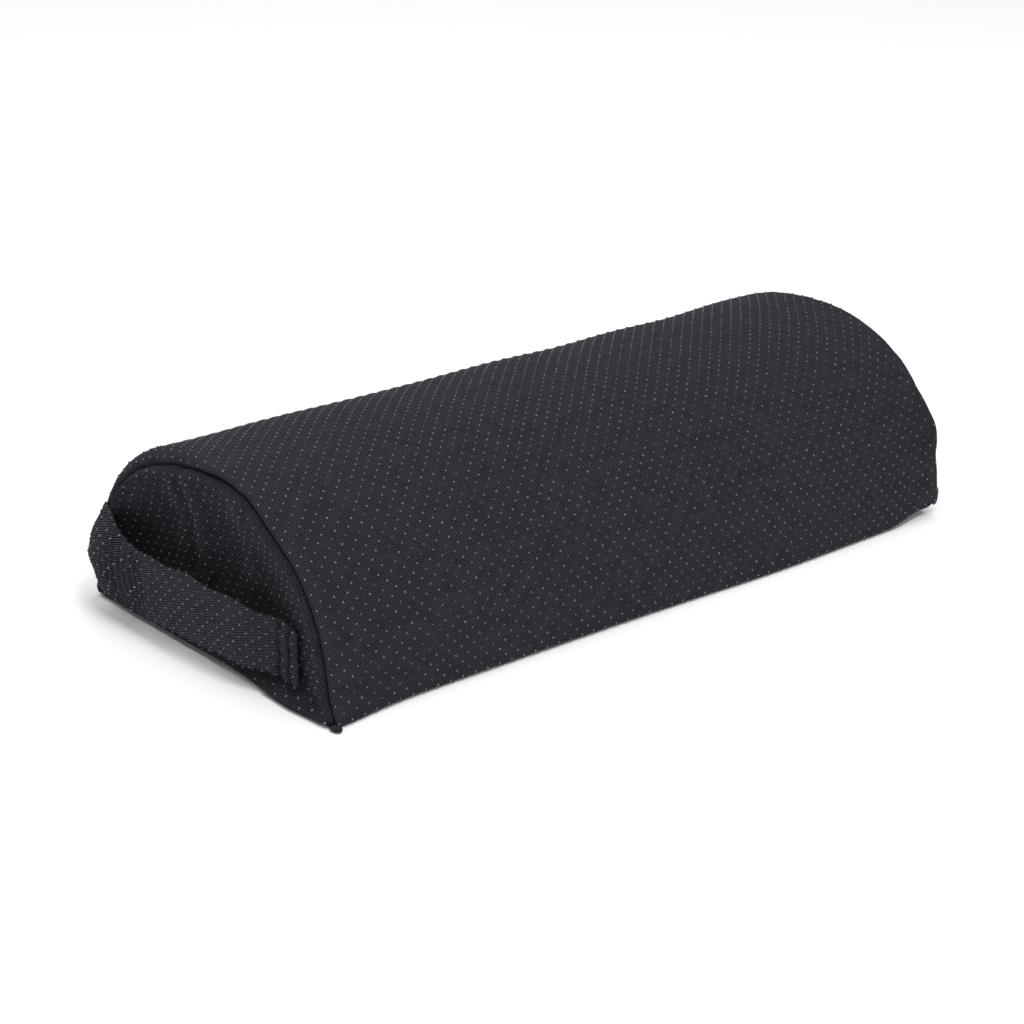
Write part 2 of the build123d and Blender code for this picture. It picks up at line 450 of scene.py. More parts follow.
def outline(corner):
    """The D section as points evenly spaced along it, from the zip down, under and over."""
    reach = arch_depth(corner)
    turn = np.linspace(0, math.pi / 2, 40)
    angle = np.linspace(0, math.pi, 900)
    across = -np.sign(np.cos(angle)) * np.abs(np.cos(angle)) ** (2 / ARCH_POWER)
    arch = np.stack([HALF_DEPTH * across, HEIGHT * np.sin(angle) ** (2 / ARCH_POWER)], 1)
    over = arch[(arch[:, 1] > corner) & ((arch[:, 0] < 0) | (arch[:, 1] > ZIP_HEIGHT))]
    heel_heights = np.linspace(ZIP_HEIGHT, corner, 20)
    heel = np.stack([arch_depth(heel_heights), heel_heights], 1)
    back = np.stack([reach - corner + corner * np.cos(turn), corner - corner * np.sin(turn)], 1)
    front = np.stack([corner - reach - corner * np.sin(turn), corner - corner * np.cos(turn)], 1)
    points = np.concatenate([heel, back, front, over, heel[:1]])
    steps = np.linalg.norm(np.diff(points, axis=0), axis=1)
    points = points[np.append(True, steps > 1e-7)]
    run = np.append(0, np.cumsum(np.linalg.norm(np.diff(points, axis=0), axis=1)))
    even = np.linspace(0, run[-1], 1601)
    return run[-1], np.interp(even, run, points[:, 0]), np.interp(even, run, points[:, 1])


GIRTH, TIGHT_Y, TIGHT_Z = outline(BASE_CORNER)
_, SLACK_Y, SLACK_Z = outline(RIGHT_CORNER)
SHARES = np.linspace(0, 1, len(TIGHT_Y))


def section(share, slack):
    """A point of the D at a share of its girth; slack rounds its base edges."""
    pairs = ((TIGHT_Y, SLACK_Y), (TIGHT_Z, SLACK_Z))
    return tuple(
        np.interp(share, SHARES, tight) * (1 - slack) + np.interp(share, SHARES, loose) * slack
        for tight, loose in pairs
    )


def drawn_in(y, z, inset):
    """Moves points of the D towards its inside by an even inset."""
    return y * (1 - inset / HALF_DEPTH), inset + z * (1 - 2 * inset / HEIGHT)


def roll_radius(share):
    """How round the wrap's turn to the end is: tight in front, fuller over the top and back."""
    y, z = section(share, 0.0)
    back = smooth_step(y, -0.5 * HALF_DEPTH, 0.45 * HALF_DEPTH)
    full = ROLL_FRONT + (ROLL_BACK - ROLL_FRONT) * back
    return ROLL_BASE + (full - ROLL_BASE) * smooth_step(z, 1 * MM, 0.16 * HEIGHT)


def cloth_reach(share):
    """The cloth's length from the bolster's middle to its end seam."""
    radius = roll_radius(share)
    return HALF_LENGTH - radius + radius * ROLL_TURN


def seam_sink(y):
    """The seam is pulled in hardest in front, and rides up on its allowances at the back."""
    return SEAM_SINK * (1 - 0.7 * smooth_step(y, -10 * MM, 30 * MM))


def foot_swell(side, y, z):
    """How far the slack foot of the left end spreads over the floor, in front of the strap."""
    spread = FOOT_SWELL * hump(y, -67 * MM, 27 * MM) * fading(z, 6 * MM)
    return np.where(side < 0, spread, 0.0)


def end_pucker(side, y, z):
    """The lump that a pulled stitch leaves in the right end's seam, halfway up its front."""
    height = STITCH_LUMP * hump(z, 49 * MM, 10 * MM) * (y < 0)
    return np.where(side > 0, height, 0.0)


def end_tuck(side, y, z):
    """How far the right end's seam is drawn in near the front of its base."""
    low = 1 - smooth_step(z, 12 * MM, 46 * MM)
    tuck = END_TUCK * low * smooth_step(-y, 0, 70 * MM)
    return np.where(side > 0, tuck, 0.0)


def seam_dip(side, y, z):
    """How far the left end's seam cuts the corner of the arch, high on its front."""
    dip = SEAM_DIP * hump(y, -60 * MM, 16 * MM) * smooth_step(z, 35 * MM, 60 * MM)
    return np.where(side < 0, dip, 0.0)


def base_spread(u, y, z):
    """How far the slack foot of the front spreads: a dog-ear at its left, a soft swell right."""
    ear = DOG_EAR * hump(u, -HALF_LENGTH, 28 * MM)
    swell = FRONT_SWELL * hump(u, 75 * MM, 62 * MM)
    return (ear + swell) * fading(z, 6 * MM) * fading(y + HALF_DEPTH, 12 * MM)


def zip_spread(u, s):
    """Opens the two cloth edges round the zip, and leaves them sewn together beyond it."""
    give = 0.9 * np.minimum(s, GIRTH - s).clip(0, 25 * MM)
    closed = smooth_step(np.abs(u), ZIP_HALF - 2 * MM - give, ZIP_HALF + 3 * MM + give)
    gap = ZIP_GAP / 2 * (1 - closed)
    reach = 25 * MM
    return s + gap * np.exp(-s / reach) - gap * np.exp(-(GIRTH - s) / reach)


def wrap_relief(u, s, y, z, to_seam):
    """How far the wrap stands out from the plain arch."""
    relief = 0.45 * MM * soft_waves(u, s, 90 * MM, 3)
    relief += 0.3 * MM * soft_waves(u * 0.3, s, 16 * MM, 5) * fading(to_seam, 14 * MM)
    to_edge = np.minimum(s, GIRTH - s)
    relief *= 1 - fading(to_edge, 6 * MM)
    past_zip = smooth_step(np.abs(u), ZIP_HALF, ZIP_HALF + 4 * MM)
    relief -= SEWN_GROOVE * past_zip * fading(to_edge, 1.1 * MM)
    high = smooth_step(z, 45 * MM, 85 * MM)
    relief += RIGHT_FULLNESS * smooth_step(u, 110 * MM, 185 * MM) * high
    relief += end_pucker(u, y, z) * hump(to_seam, 0, 7 * MM)
    return relief - seam_dip(u, y, z) * fading(to_seam, 12 * MM)


def wrap_place(u, s):
    """Where a point of the flat wrap cloth lies on the bolster."""
    share = np.clip(zip_spread(u, s) / GIRTH, 0, 1)
    radius = roll_radius(share)
    shoulder = HALF_LENGTH - radius
    turn = np.clip(np.abs(u) - shoulder, 0, None) / radius
    x = np.sign(u) * (np.minimum(np.abs(u), shoulder) + radius * np.sin(turn))
    slack = smooth_step(u, HALF_LENGTH - 40 * MM, HALF_LENGTH - 2 * MM)
    y, z = section(share, slack * smooth_step(share * GIRTH, 30 * MM, 110 * MM))
    to_seam = np.clip(HALF_LENGTH - np.abs(u), 0, None)
    off_floor = smooth_step(z, 4 * MM, 20 * MM)
    relief = wrap_relief(u, s, y, z, to_seam) * off_floor
    y, z = drawn_in(y, z, radius * (1 - np.cos(turn)) - relief)
    sewn = fading(cloth_reach(share) - np.abs(u), 0.9 * MM)
    swell = foot_swell(u, y, z) * fading(to_seam, 12 * MM)
    swell -= end_tuck(u, y, z) * fading(to_seam, 30 * MM)
    x = x + np.sign(u) * (swell - seam_sink(y) * sewn)
    y = y - base_spread(u, y, z)
    z = BASE_CLOTH + z * (1 - BASE_CLOTH / HEIGHT)
    return np.stack([x, y, z], 1)


def stand_on(place, u, s, height):
    """Points at a height over a cloth surface, along its outward normal."""
    step = 0.04 * MM
    along = place(u + step, s) - place(u - step, s)
    across = place(u, s + step) - place(u, s - step)
    normal = np.cross(along, across)
    normal /= np.linalg.norm(normal, axis=1, keepdims=True).clip(1e-12)
    return place(u, s) + normal * height[:, None]


def read_points(mesh):
    flat = np.empty(len(mesh.vertices) * 3)
    mesh.vertices.foreach_get("co", flat)
    return flat.reshape(-1, 3)


def write_points(mesh, points):
    mesh.vertices.foreach_set("co", points.ravel())
    mesh.update()


def flat_sheet(name, columns, rows):
    """A sheet of cloth on the unit square, as a mesh."""
    bm = bmesh.new()
    bmesh.ops.create_grid(bm, x_segments=columns, y_segments=rows, size=0.5)
    bmesh.ops.translate(bm, vec=(0.5, 0.5, 0), verts=bm.verts)
    return finish_mesh(bm, name)


def finish_mesh(bm, name):
    mesh = bpy.data.meshes.new(name)
    bm.to_mesh(mesh)
    bm.free()
    return mesh


def lay_out(mesh, cloth):
    """Keeps each point's place on the flat cloth as the UV map that the weave follows."""
    layer = mesh.uv_layers.get("cloth") or mesh.uv_layers.new(name="cloth")
    corners = np.empty(len(mesh.loops), dtype=np.int32)
    mesh.loops.foreach_get("vertex_index", corners)
    layer.data.foreach_set("uv", cloth[corners].ravel())


def paint_fold_light_and_shade(mesh, folds):
    """Keeps painted light and shade for each point, from -1 for a painted highlight on a ridge to 1
    for painted shade in a crease or seam.
    """
    layer = mesh.attributes.new("fold", "FLOAT", "POINT")
    layer.data.foreach_set("value", np.clip(folds, -1, 1).astype(np.float32))


def piece(name, mesh, material, body):
    """A finished piece: its mesh becomes an object, which rides on a body if one is given."""
    mesh.materials.append(material)
    for face in mesh.polygons:
        face.use_smooth = True
    obj = bpy.data.objects.new(name, mesh)
    bpy.context.collection.objects.link(obj)
    if body:
        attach(obj, body)
    return obj


def thicken(obj):
    """Gives a sheet of cloth its thickness, inwards."""
    solid = obj.modifiers.new("cloth", "SOLIDIFY")
    solid.thickness = CLOTH
    solid.offset = -1.0


# -------- shapes


def moved(geometry, shift):
    """The points of some geometry, after a shift."""
    points = [g for g in geometry if isinstance(g, bmesh.types.BMVert)]
    for point in points:
        point.co += shift
    return points


def turn_points(bm, points, angle, axis):
    """Turns points about an axis through the origin."""
    bmesh.ops.rotate(bm, cent=(0, 0, 0), matrix=Matrix.Rotation(angle, 3, axis), verts=points)


def eased(bm, edges, offset, segments):
    """Rounds some edges off, and returns the new points."""
    return bmesh.ops.bevel(
        bm, geom=edges, affect="EDGES", offset=offset, segments=segments, profile=0.5, material=-1
    )["verts"]


def rod(bm, radius, length, segments):
    """A round rod along Z, centred on the origin; returns its points."""
    return bmesh.ops.create_cone(
        bm, cap_ends=True, segments=segments, radius1=radius, radius2=radius, depth=length
    )["verts"]


def block(bm, low, high, bevel=0.2 * MM, segments=2):
    """A box from one corner to the other with its edges eased; returns its points."""
    made = bmesh.ops.create_cube(bm, size=1.0)["verts"]
    bmesh.ops.scale(bm, vec=Vector(high) - Vector(low), verts=made)
    bmesh.ops.translate(bm, vec=(Vector(high) + Vector(low)) / 2, verts=made)
    return eased(bm, list({e for v in made for e in v.link_edges}), bevel, segments)


# -------- grip dots


def dot_dome():
    """One grip dot: a low dome with a closed foot."""
    bm = bmesh.new()
    bmesh.ops.create_circle(bm, cap_ends=True, segments=6, radius=DOT_RADIUS)
    foot = bm.faces[:]
    for shrink, rise in ((0.8, 0.6), (0.45, 0.4)):
        top = bmesh.ops.extrude_face_region(bm, geom=foot)["geom"]
        points = moved(top, Vector((0, 0, DOT_RISE * rise)))
        bmesh.ops.scale(bm, vec=(shrink, shrink, 1), verts=points)
        foot = [g for g in top if isinstance(g, bmesh.types.BMFace)]
    bmesh.ops.recalc_face_normals(bm, faces=bm.faces)
    bmesh.ops.translate(bm, vec=(0, 0, -DOT_SINK), verts=bm.verts)
    return bm


def dot_field(width, length):
    """Grip dots all over a flat cloth that is centred on the origin, in staggered rows."""
    bm = dot_dome()
    copy = bmesh.ops.duplicate(bm, geom=bm.verts[:] + bm.edges[:] + bm.faces[:])["geom"]
    moved(copy, Vector((DOT_CELL / 2, DOT_CELL / 2, 0)))
    for reach, step in ((width, Vector((DOT_CELL, 0, 0))), (length, Vector((0, DOT_CELL, 0)))):
        unit = bm.verts[:] + bm.edges[:] + bm.faces[:]
        half = math.ceil(reach / DOT_CELL / 2)
        for i in range(-half, half + 1):
            if i:
                moved(bmesh.ops.duplicate(bm, geom=unit)["geom"], step * i)
    return bm


def turned(angle):
    """A turn of flat cloth, as a matrix that its points are multiplied by."""
    return np.array([[math.cos(angle), math.sin(angle)], [-math.sin(angle), math.cos(angle)]])


def carried(bm, place):
    """Moves a bmesh drawn on the flat cloth, in heights over it, to where the cloth lies."""
    flat = np.array([v.co for v in bm.verts])
    for vertex, spot in zip(bm.verts, stand_on(place, *flat.T)):
        vertex.co = spot
    return bm


def dots_on(name, material, width, length, keep, place, turn=0.0, slot="cover_fabric"):
    """Grip dots on a cloth, where keep says so, carried with the cloth to where it lies."""
    bm = dot_field(width, length)
    cell = DOT_CELL / 2
    flat = np.array([v.co for v in bm.verts])
    middle = np.round(flat[:, :2] / cell) * cell
    scatter = np.mod(np.sin(middle @ (12.9898, 78.233) / MM) * 43758.5, 1)
    flat[:, 2] *= DOT_PRESS[0] + DOT_PRESS[1] * scatter
    flat[:, :2] = flat[:, :2] @ turned(turn)
    kept = keep(*(middle @ turned(turn)).T)
    lost = [v for v, stays in zip(bm.verts, kept) if not stays]
    bmesh.ops.delete(bm, geom=lost, context="VERTS")
    for vertex, spot in zip(bm.verts, stand_on(place, *flat[kept].T)):
        vertex.co = spot
    return piece(name, finish_mesh(bm, name), material, None)


# -------- pieces of the cover


def wrap_cover(cloth):
    """The panel that goes round the bolster, from one zip edge to the other."""
    mesh = flat_sheet("wrap_cover", 190, 190)
    unit = read_points(mesh)
    t = unit[:, 0] * 2 - 1
    t = np.sign(t) * (1 - (1 - np.abs(t)) ** 1.6)
    s = unit[:, 1] * GIRTH
    u = t * cloth_reach(unit[:, 1])
    lay_out(mesh, np.stack([u, s], 1))
    to_seam = cloth_reach(unit[:, 1]) - np.abs(u)
    # painted shade along the end seams, and a painted highlight on the band just inside them
    paint_fold_light_and_shade(mesh, fading(to_seam, 0.8 * MM) - 0.2 * hump(to_seam, 4.5 * MM, 3 * MM))
    write_points(mesh, wrap_place(u, s))
    cover = piece("wrap_cover", mesh, cloth, "bolster")
    thicken(cover)
    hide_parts("wrap_panel")


def on_wrap(u, s):
    """Where the wrap has grip dots: clear of its seams and of the gathers at the zip's ends."""
    to_edge = np.minimum(s, GIRTH - s)
    gathered = (np.abs(np.abs(u) - ZIP_HALF) < 5 * MM) & (to_edge < 12 * MM)
    to_seam = cloth_reach(np.clip(s / GIRTH, 0, 1)) - np.abs(u)
    return (to_edge > DOT_MARGIN) & ~gathered & (to_seam > DOT_MARGIN)


def wrap_dots(rubber):
    """The grip dots of the wrap, over the arch and under the base."""

    def from_middle(u, s):
        return wrap_place(u, s + GIRTH / 2)

    def under(u, s):
        share = np.clip(s / GIRTH + 0.5, 0, 1)
        return on_wrap(u, s + GIRTH / 2) & (section(share, 0.0)[1] < 2 * MM)

    def over(u, s):
        return on_wrap(u, s + GIRTH / 2) & ~under(u, s)

    for name, keep in (("arch_dots", over), ("base_dots", under)):
        dots = dots_on(name, rubber, 2 * HALF_LENGTH + 20 * MM, GIRTH, keep, from_middle)
        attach(dots, "bolster")


class EndCloth:
    """One end panel: a slack D of cloth that hangs inside the seam, a little off the grain."""

    def __init__(self, side):
        self.side = side
        share = np.linspace(0, 1, 1201)
        seam = wrap_place(side * cloth_reach(share), share * GIRTH)
        self.middle = np.array([0.0, 0.42 * HEIGHT])
        spoke = seam[:, 1:] - self.middle
        angle = np.arctan2(spoke[:, 1], spoke[:, 0])
        order = np.argsort(angle)
        self.angles = angle[order]
        self.reaches = np.linalg.norm(spoke, axis=1)[order]
        swell = foot_swell(side, seam[:, 1], seam[:, 2] - BASE_CLOTH)
        self.stations = (np.abs(seam[:, 0]) - swell)[order]

    def seam_at(self, angle):
        """The seam's distance from the panel's middle, and how far out it lies."""
        reach = np.interp(angle, self.angles, self.reaches, period=2 * math.pi)
        return reach, np.interp(angle, self.angles, self.stations, period=2 * math.pi)

    def hanging(self, z, inside):
        """Where the folds hang: from just inside the top of the seam to half the height."""
        return smooth_step(z, 30 * MM, 50 * MM) * smooth_step(inside, 0, 9 * MM)

    def folds(self, y, z, inside):
        """The soft upright folds, 1 at the fullest; they shape the panel and also set where its
        painted highlight goes.
        """
        folds = 0.85 * hump(y, 26 * MM - 0.05 * z, 5.5 * MM)
        folds += hump(y, 7 * MM + 0.05 * (z - 60 * MM), 5.5 * MM)
        folds += 0.6 * hump(y, -31 * MM, 6 * MM)
        return folds * self.hanging(z, inside)

    def valleys(self, y, z, inside):
        """The creases between the folds, 1 at the deepest; they set only where the panel's painted
        shade goes.
        """
        valleys = hump(y, 16 * MM, 5 * MM) + 0.7 * hump(y, -8 * MM, 6 * MM)
        return valleys * self.hanging(z, inside)

    def relief(self, y, z, inside):
        """How far the slack cloth stands out from a flat end."""
        back = smooth_step(y, -10 * MM, 45 * MM) * smooth_step(z, 20 * MM, 50 * MM)
        puffed = (1.3 * MM + seam_sink(y)) * (1 - fading(inside, 0.9 * MM))
        puffed += (0.9 * MM + 1.5 * MM * back) * hump(inside, 2.4 * MM, 2.0 * MM)
        hollow = PANEL_HOLLOW * smooth_step(inside, 2 * MM, 32 * MM)
        under_tab = hump(y, -68 * MM, 14 * MM) * hump(z, 27 * MM, 20 * MM)
        hollow *= 1 - 0.6 * under_tab
        folds = PANEL_FOLD * self.folds(y, z, inside)
        pucker = 0.35 * MM * soft_waves(y, z, 13 * MM, 11) * fading(inside, 10 * MM)
        pucker *= smooth_step(inside, 0, 3 * MM)
        drift = 0.5 * MM * soft_waves(y, z, 45 * MM, 12) * smooth_step(inside, 0, 12 * MM)
        return puffed - hollow + folds + pucker + drift

    def place(self, y, z):
        """Where a point of the panel lies, from its place on a flat end."""
        angle = np.arctan2(z - self.middle[1], y - self.middle[0])
        away = np.hypot(y - self.middle[0], z - self.middle[1])
        reach, station = self.seam_at(angle)
        inside = np.clip(reach - away, 0, None)
        out = station + self.relief(y, z, inside) + foot_swell(self.side, y, z - BASE_CLOTH)
        return np.stack([self.side * out, y, z], 1)


def disc(rings, spokes):
    """A flat disc of rings that crowd towards its rim."""
    bm = bmesh.new()
    first = 1 - (1 - 1 / rings) ** 1.5
    bmesh.ops.create_circle(bm, cap_ends=True, cap_tris=True, segments=spokes, radius=first)
    rim = [e for e in bm.edges if e.is_boundary]
    last = first
    for i in range(2, rings + 1):
        radius = 1 - (1 - i / rings) ** 1.5
        made = bmesh.ops.extrude_edge_only(bm, edges=rim)["geom"]
        points = [g for g in made if isinstance(g, bmesh.types.BMVert)]
        bmesh.ops.scale(bm, vec=(radius / last,) * 3, verts=points)
        rim = [g for g in made if isinstance(g, bmesh.types.BMEdge) and g.is_boundary]
        last = radius
    return bm


def end_cover(side, name, cloth, rubber):
    """One end panel with its grip dots."""
    panel = EndCloth(side)
    bm = disc(34, 260)
    if side < 0:
        bmesh.ops.reverse_faces(bm, faces=bm.faces)
    mesh = finish_mesh(bm, f"{name}_cover")
    unit = read_points(mesh)
    angle = np.arctan2(unit[:, 1], unit[:, 0])
    reach, _ = panel.seam_at(angle)
    away = np.hypot(unit[:, 0], unit[:, 1]) * reach
    y = panel.middle[0] + away * np.cos(angle)
    z = panel.middle[1] + away * np.sin(angle)
    inside = reach - away
    # painted shade at the seam and in the creases between the folds; painted highlight on the folds
    # and on a band just inside the seam
    painted_crease_shade = fading(inside, 0.8 * MM) + 0.45 * panel.valleys(y, z, inside)
    wear_and_painted_highlight = 0.35 * panel.folds(y, z, inside) + 0.25 * hump(inside, 3.5 * MM, 2.2 * MM)
    paint_fold_light_and_shade(mesh, painted_crease_shade - wear_and_painted_highlight)
    write_points(mesh, panel.place(y, z))
    lay_out(mesh, np.stack([y * side, z], 1) @ turned(-PANEL_TURN))
    cover = piece(mesh.name, mesh, cloth, "bolster")
    thicken(cover)
    end = "left" if side < 0 else "right"
    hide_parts(f"end_panel_{end}", f"end_overlock_{end}")

    def flat_place(a, b):
        return panel.place(a * side, b + panel.middle[1])

    def on_panel(a, b):
        y = a * side
        angle = np.arctan2(b, y)
        return np.hypot(y, b) < panel.seam_at(angle)[0] - 2.0 * MM

    cut = (2 * HALF_DEPTH, 1.3 * HEIGHT)
    dots = dots_on(f"{name}_dots", rubber, *cut, on_panel, flat_place, PANEL_TURN)
    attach(dots, "bolster")


def smooth_line(points, count):
    """A smooth line through the points of a table, every column at once."""
    table = np.array(points, float)
    padded = np.concatenate([2 * table[:1] - table[1:2], table, 2 * table[-1:] - table[-2:-1]])
    steps = np.linalg.norm(np.diff(table[:, :2], axis=0), axis=1)
    knots = np.append(0, np.cumsum(steps))
    spots = np.linspace(0, knots[-1], count)
    i = np.clip(np.searchsorted(knots, spots, side="right") - 1, 0, len(table) - 2)
    t = ((spots - knots[i]) / steps[i])[:, None]
    before, start, end, after = (padded[i + k] for k in range(4))
    squared = 2 * before - 5 * start + 4 * end - after
    cubed = 3 * start - before - 3 * end + after
    return 0.5 * (2 * start + (end - before) * t + squared * t**2 + cubed * t**3)


def tab_waver(w, spot):
    """How far a sewn row of the tab strays along the strap."""
    reach, length = TAB_WAVER
    return reach * np.sin(w * 2 * math.pi / length + spot)


class StrapCloth:
    """The carry strap: a flat tube of the cover cloth, from the back seam to the front tab."""

    def __init__(self):
        line = smooth_line(STRAP_ROUTE, 801) * MM
        steps = np.linalg.norm(np.diff(line[:, :2], axis=0), axis=1)
        self.run = np.append(0, np.cumsum(steps))
        self.length = self.run[-1]
        self.columns = line.T
        heading = np.gradient(line[:, :2], self.run, axis=0)
        heading /= np.linalg.norm(heading, axis=1, keepdims=True)
        self.heading = heading.T
        self.flat = 2 * (STRAP_HALF_WIDTH - STRAP_HALF_THICKNESS)
        self.bend = math.pi * STRAP_HALF_THICKNESS
        self.girth = 2 * (self.flat + self.bend)

    def at(self, column, a):
        return np.interp(a, self.run, column)

    def along(self, a):
        """The place along the end that a length of strap has reached."""
        return self.at(self.columns[0], a)

    def puckers(self, a, w):
        """The close upright gathers where the strap turns in to the back seam, -1 to 1."""
        turn_in = hump(a, 42 * MM, 20 * MM)
        lean = a + 0.18 * w
        phase = lean * 2 * math.pi / PUCKER_PITCH + 2.2 * soft_waves(a, w, 30 * MM, 21)
        return turn_in * np.sin(phase) * (0.75 + 0.25 * soft_waves(a, w, 16 * MM, 23))

    def creases(self, a, w):
        """Relief of the outer face: puckers at the turn-in, sewn lines at the tab, soft swells."""
        relief = PUCKER_RISE * self.puckers(a, w)
        along = self.along(a)
        for spot in TAB_STITCHES:
            line = spot * MM + tab_waver(w, spot)
            relief -= TAB_SINK * hump(along, line, 1.0 * MM)
            near = hump(along, line, 4 * MM)
            relief += 0.35 * MM * near * np.sin(w * 2 * math.pi / (5.3 * MM) + spot)
        relief += 0.7 * MM * soft_waves(a, w, 34 * MM, 22) * smooth_step(along, -62 * MM, -45 * MM)
        return relief

    def place(self, a, b):
        """Where a point of the flat tube lies; b runs round it from its outer face's middle."""
        b = np.mod(b + self.girth / 2, self.girth) - self.girth / 2
        size = np.abs(b)
        past_flat = size - self.flat / 2
        turn = np.clip(past_flat / STRAP_HALF_THICKNESS, 0, math.pi)
        w = np.where(past_flat < 0, size, self.flat / 2 + STRAP_HALF_THICKNESS * np.sin(turn))
        w = np.where(past_flat > self.bend, self.flat + self.bend - size, w) * np.sign(b)
        y, stand, low, high, crown = (self.at(c, a) for c in self.columns)
        across = w / STRAP_HALF_WIDTH
        ends = np.clip(np.minimum(a, self.length - a) / (1.6 * MM), 0, 1)
        thin = STRAP_HALF_THICKNESS * np.sqrt(np.clip(1 - (1 - ends) ** 2, 0, 1))
        out = thin * np.cos(turn) + crown * (1 - np.clip(across**2, 0, 1)) + self.creases(a, w)
        heading_y, heading_out = (self.at(c, a) for c in self.heading)
        fold = 1.2 * MM * hump(across, -0.05, 0.22) - 5.0 * MM * smooth_step(across, 0.35, 1.0)
        out = out + fold * hump(a, 15 * MM, 13 * MM)
        wave = 0.6 * MM * np.sin(a * 2 * math.pi / (31 * MM) + 1.0) * smooth_step(across, 0.2, 1)
        z = (low + high) / 2 + (high - low) / 2 * across + wave
        return np.stack([-HALF_LENGTH - (stand - heading_y * out), y + heading_out * out, z], 1)


def strap_half(name, strap, start, end, bodies, nodes, cloth, rubber):
    """One half of the strap with its dots, from one of its sewn ends to its middle."""
    mesh = flat_sheet(name, 150, 84)
    unit = read_points(mesh)
    a = (start + (end - start) * unit[:, 0]) * strap.length
    b = (unit[:, 1] - 0.5) * strap.girth
    lay_out(mesh, np.stack([a, b], 1))
    # painted shade along the tab's sewn rows and in the puckers' valleys, and painted highlight on
    # the puckers' ridges
    sewn = sum(hump(strap.along(a), spot * MM, 1.2 * MM) for spot in TAB_STITCHES)
    paint_fold_light_and_shade(mesh, 0.6 * sewn - 0.5 * strap.puckers(a, b))
    write_points(mesh, strap.place(a, b))
    bm = bmesh.new()
    bm.from_mesh(mesh)
    bmesh.ops.remove_doubles(bm, verts=bm.verts, dist=0.01 * MM)
    open_edges = [e for e in bm.edges if e.is_boundary]
    for edge in open_edges:
        edge.smooth = False
    bmesh.ops.holes_fill(bm, edges=open_edges, sides=0)
    bmesh.ops.recalc_face_normals(bm, faces=bm.faces)
    bm.to_mesh(mesh)
    bm.free()
    half = piece(name, mesh, cloth, None)
    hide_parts(*nodes)
    low, high = start * strap.length, end * strap.length
    margin = 1.2 * MM

    def kept(along, around):
        a = along + strap.length / 2
        stitched = sum(hump(strap.along(a), spot * MM, 1.0 * MM) for spot in TAB_STITCHES)
        inside = (a > max(low, margin)) & (a <= min(high, strap.length - margin))
        return inside & (np.abs(around) <= strap.girth / 2 - DOT_CELL / 4) & (stitched < 0.4)

    def from_middle(along, around):
        return strap.place(along + strap.length / 2, around)

    field = (strap.length, strap.girth)
    dots = dots_on(f"{name}_dots", rubber, *field, kept, from_middle, slot="strap_fabric")
    first, last = (Vector((-HALF_LENGTH, strap.along(a), 30 * MM)) for a in (low, high))
    free = (last - first) * 0.15  # a share of the half at the strap's middle; first and last are not read after this
    if bodies[0] == "bolster":
        last -= free
    else:
        first += free
    for obj in (half, dots):
        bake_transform(obj)


def carry_strap(cloth, rubber):
    strap = StrapCloth()
    back = ("strap_tab_back", "strap_grip")
    front = ("strap_tab_front",)
    finishes = (cloth, rubber)
    strap_half("strap_back_half", strap, 0.0, STRAP_JOIN, ("bolster", "strap"), back, *finishes)
    strap_half("strap_front_half", strap, STRAP_JOIN, 1.0, ("strap", "bolster"), front, *finishes)
    return strap


def stitch_row(bm, start, end, count, length):
    """A row of lockstitches on the flat cloth: short plump lengths of thread with small gaps."""
    pitch = (Vector(end) - Vector(start)) / count
    heading = math.atan2(pitch.y, pitch.x)
    for i in range(count):
        made = bmesh.ops.create_uvsphere(bm, u_segments=6, v_segments=5, radius=1.0)["verts"]
        turn_points(bm, made, math.pi / 2, "Y")
        bmesh.ops.scale(bm, vec=(length / 2, THREAD_RADIUS, THREAD_RADIUS * 0.8), verts=made)
        turn_points(bm, made, heading, "Z")
        bmesh.ops.translate(bm, vec=Vector(start) + pitch * (i + 0.5), verts=made)
    return bm


def zip_stitches(thread):
    """The rows of thread that hold the two cloth edges to the zip tapes."""
    for name, s in (("lower", ZIP_SEAM), ("upper", GIRTH - ZIP_SEAM)):
        bm = stitch_row(bmesh.new(), (-ZIP_HALF, s, 0), (ZIP_HALF, s, 0), 100, 2.7 * MM)
        mesh = finish_mesh(carried(bm, wrap_place), f"zip_stitches_{name}")
        row = piece(mesh.name, mesh, thread, "bolster")
        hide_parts(f"zip_stitch_{name}")


def tab_stitches(thread, strap):
    """Two rows of thread across the strap's front tab."""
    bm = bmesh.new()
    reach = 13 * MM
    for spot in TAB_STITCHES:
        a = np.interp(-spot * MM, -strap.columns[0], strap.run)
        before = len(bm.verts)
        stitch_row(bm, (a, -reach, 0), (a, reach, 0), 8, 2.6 * MM)
        for vertex in bm.verts[before:]:
            vertex.co.x -= tab_waver(vertex.co.y, spot)
    mesh = finish_mesh(carried(bm, strap.place), "tab_stitches")
    rows = piece(mesh.name, mesh, thread, "bolster")
    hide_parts("strap_stitches")


def seam_ear(name, place, size, lean, cloth):
    """A rumpled scrap of seam allowance that peeps out of the end of a seam."""
    bm = bmesh.new()
    bmesh.ops.create_uvsphere(bm, u_segments=32, v_segments=20, radius=1.0)
    flat = np.array([v.co for v in bm.verts])
    creases = 1 + 0.22 * soft_waves(flat[:, 0], flat[:, 2], 0.9, 31)
    for vertex, crease in zip(bm.verts, creases):
        vertex.co.y *= crease
        vertex.co.x += 0.25 * vertex.co.z**2
    bmesh.ops.scale(bm, vec=Vector(size) * MM, verts=bm.verts)
    turn_points(bm, bm.verts, math.radians(lean), "Y")
    bmesh.ops.translate(bm, vec=place, verts=bm.verts)
    mesh = finish_mesh(bm, name)
    points = read_points(mesh)
    lay_out(mesh, np.stack([points[:, 0] + points[:, 2], points[:, 1]], 1))
    piece(name, mesh, cloth, "bolster")


